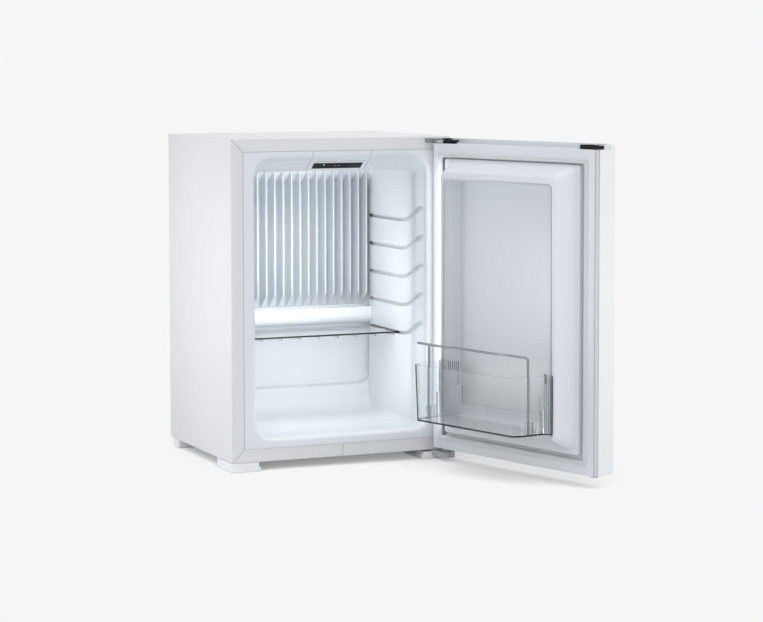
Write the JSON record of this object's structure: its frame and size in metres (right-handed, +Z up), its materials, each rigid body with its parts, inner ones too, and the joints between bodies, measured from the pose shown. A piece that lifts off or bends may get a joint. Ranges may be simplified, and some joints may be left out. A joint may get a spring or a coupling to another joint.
{
  "type": "minibar fridge",
  "caption": "Small absorption minibar fridge, hinged door open, with a finned cooling block, a sliding shelf, a lift-off door bin and a bottle guard.",
  "frame": {"origin": "on the floor, under the middle of the bounding box with the door open as pictured", "axes": "+Z up, front of the cabinet faces -Y, door hinges at the +X side"},
  "size_m": [0.5138, 0.7862, 0.56],
  "materials": {
    "white_paint": "satin",
    "white_plastic": "satin",
    "foam": "matte",
    "aluminium": "satin",
    "glossy_black": "gloss",
    "green_light": "gloss",
    "black_plastic": "matte",
    "grey_plastic": "satin",
    "seal": "matte",
    "hinge_steel": "satin",
    "black_steel": "satin",
    "galvanised": "satin",
    "clear_plastic": "gloss"
  },
  "bodies": {
    "cabinet": {"cabinet_wrapper": "white_paint", "back_panel": "galvanised", "insulation_foam": "foam", "inner_liner": "white_plastic", "cooling_fins": "aluminium", "drip_gutter": "white_plastic", "drain_tube": "grey_plastic", "control_housing": "white_plastic", "display_window": "glossy_black", "status_led": "green_light", "foot_front_left": "white_plastic", "foot_front_right": "white_plastic", "foot_rear_left": "black_plastic", "foot_rear_right": "black_plastic", "top_hinge_plate": "hinge_steel", "top_hinge_pin": "hinge_steel", "bottom_hinge_plate": "hinge_steel", "bottom_hinge_pin": "hinge_steel", "condenser": "black_steel", "boiler_cover": "galvanised", "boiler_tube": "black_steel", "gas_exchanger": "black_steel", "evaporator_tube": "black_steel", "absorber_coil": "black_steel", "absorber_vessel": "black_steel", "evaporation_tray": "black_plastic", "unit_strap_left": "galvanised", "unit_strap_right": "galvanised", "boiler_bracket": "galvanised", "condenser_bracket": "galvanised", "electronics_box": "black_plastic", "mains_inlet": "grey_plastic"},
    "door": {"door_outer_panel": "white_paint", "door_frame": "white_plastic", "door_foam": "foam", "door_inner_liner": "white_plastic", "door_gasket": "seal", "top_hinge_bush": "black_plastic", "top_hinge_blank": "black_plastic", "bottom_hinge_bush": "grey_plastic", "bottom_hinge_blank": "grey_plastic"},
    "bin": {"door_bin": "clear_plastic"},
    "guard": {"bottle_guard": "clear_plastic"},
    "shelf": {"shelf": "clear_plastic"}
  },
  "joints": [
    {"name": "door_hinge", "type": "hinge", "parent": "cabinet", "child": "door", "pos_m": [0.12806, -0.02053, 0], "axis": [0, 0, 1], "range_deg": [-105.52, 5]},
    {"name": "shelf_slide", "type": "slide", "parent": "cabinet", "child": "shelf", "axis": [0, -1, 0], "range_m": [0, 0.014]},
    {"name": "bin_lift", "type": "slide", "parent": "door", "child": "bin", "axis": [0, 0, 1], "range_m": [0, 0.03]},
    {"name": "guard_lift", "type": "slide", "parent": "bin", "child": "guard", "axis": [0, 0, 1], "range_m": [0, 0.02]}
  ]
}
